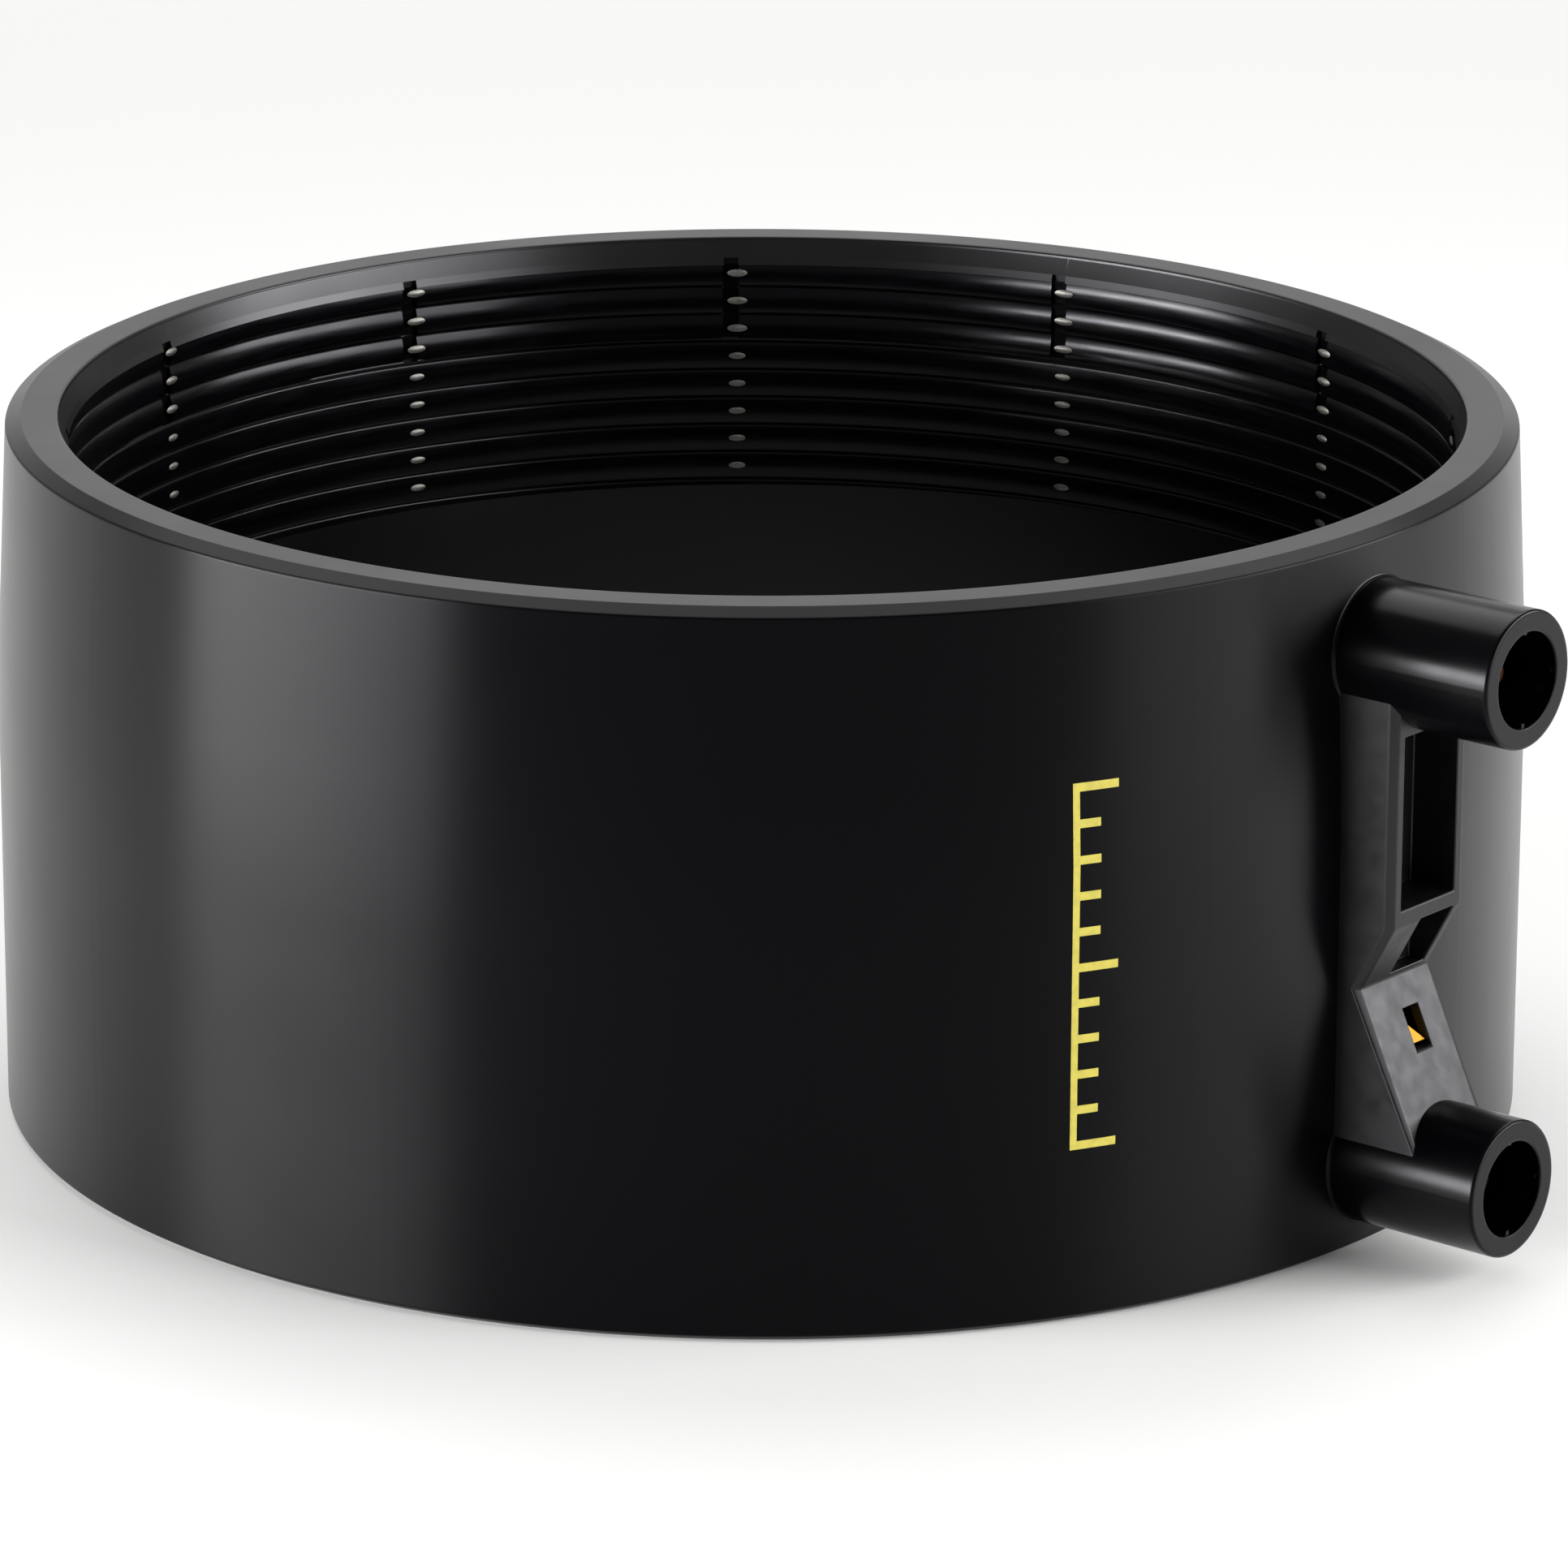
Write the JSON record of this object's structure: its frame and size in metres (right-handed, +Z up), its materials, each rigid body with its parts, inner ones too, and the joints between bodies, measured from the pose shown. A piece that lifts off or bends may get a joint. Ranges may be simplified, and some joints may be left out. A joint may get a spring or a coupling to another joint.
{
  "type": "electrofusion pipe coupler",
  "caption": "Short ring-shaped coupler that slides over plastic pipe ends, with a heating winding in its bore, terminal sockets on its side and a fusion indicator.",
  "frame": {"origin": "centre of the bore at half the coupler's height", "axes": "+Z up along the bore, +X out along the terminal sockets"},
  "size_m": [0.2472, 0.223, 0.1034],
  "materials": {
    "black_polyethylene": "semi-gloss moulded black polyethylene",
    "coated_wire": "black polyethylene coating on resistance wire",
    "brass": "turned",
    "yellow_plastic": "moulded yellow plastic"
  },
  "bodies": {
    "root": {"coupler_body": "black_polyethylene", "heating_winding": "coated_wire", "upper_contact_pin": "brass", "lower_contact_pin": "brass", "fusion_indicator": "yellow_plastic"}
  },
  "joints": []
}
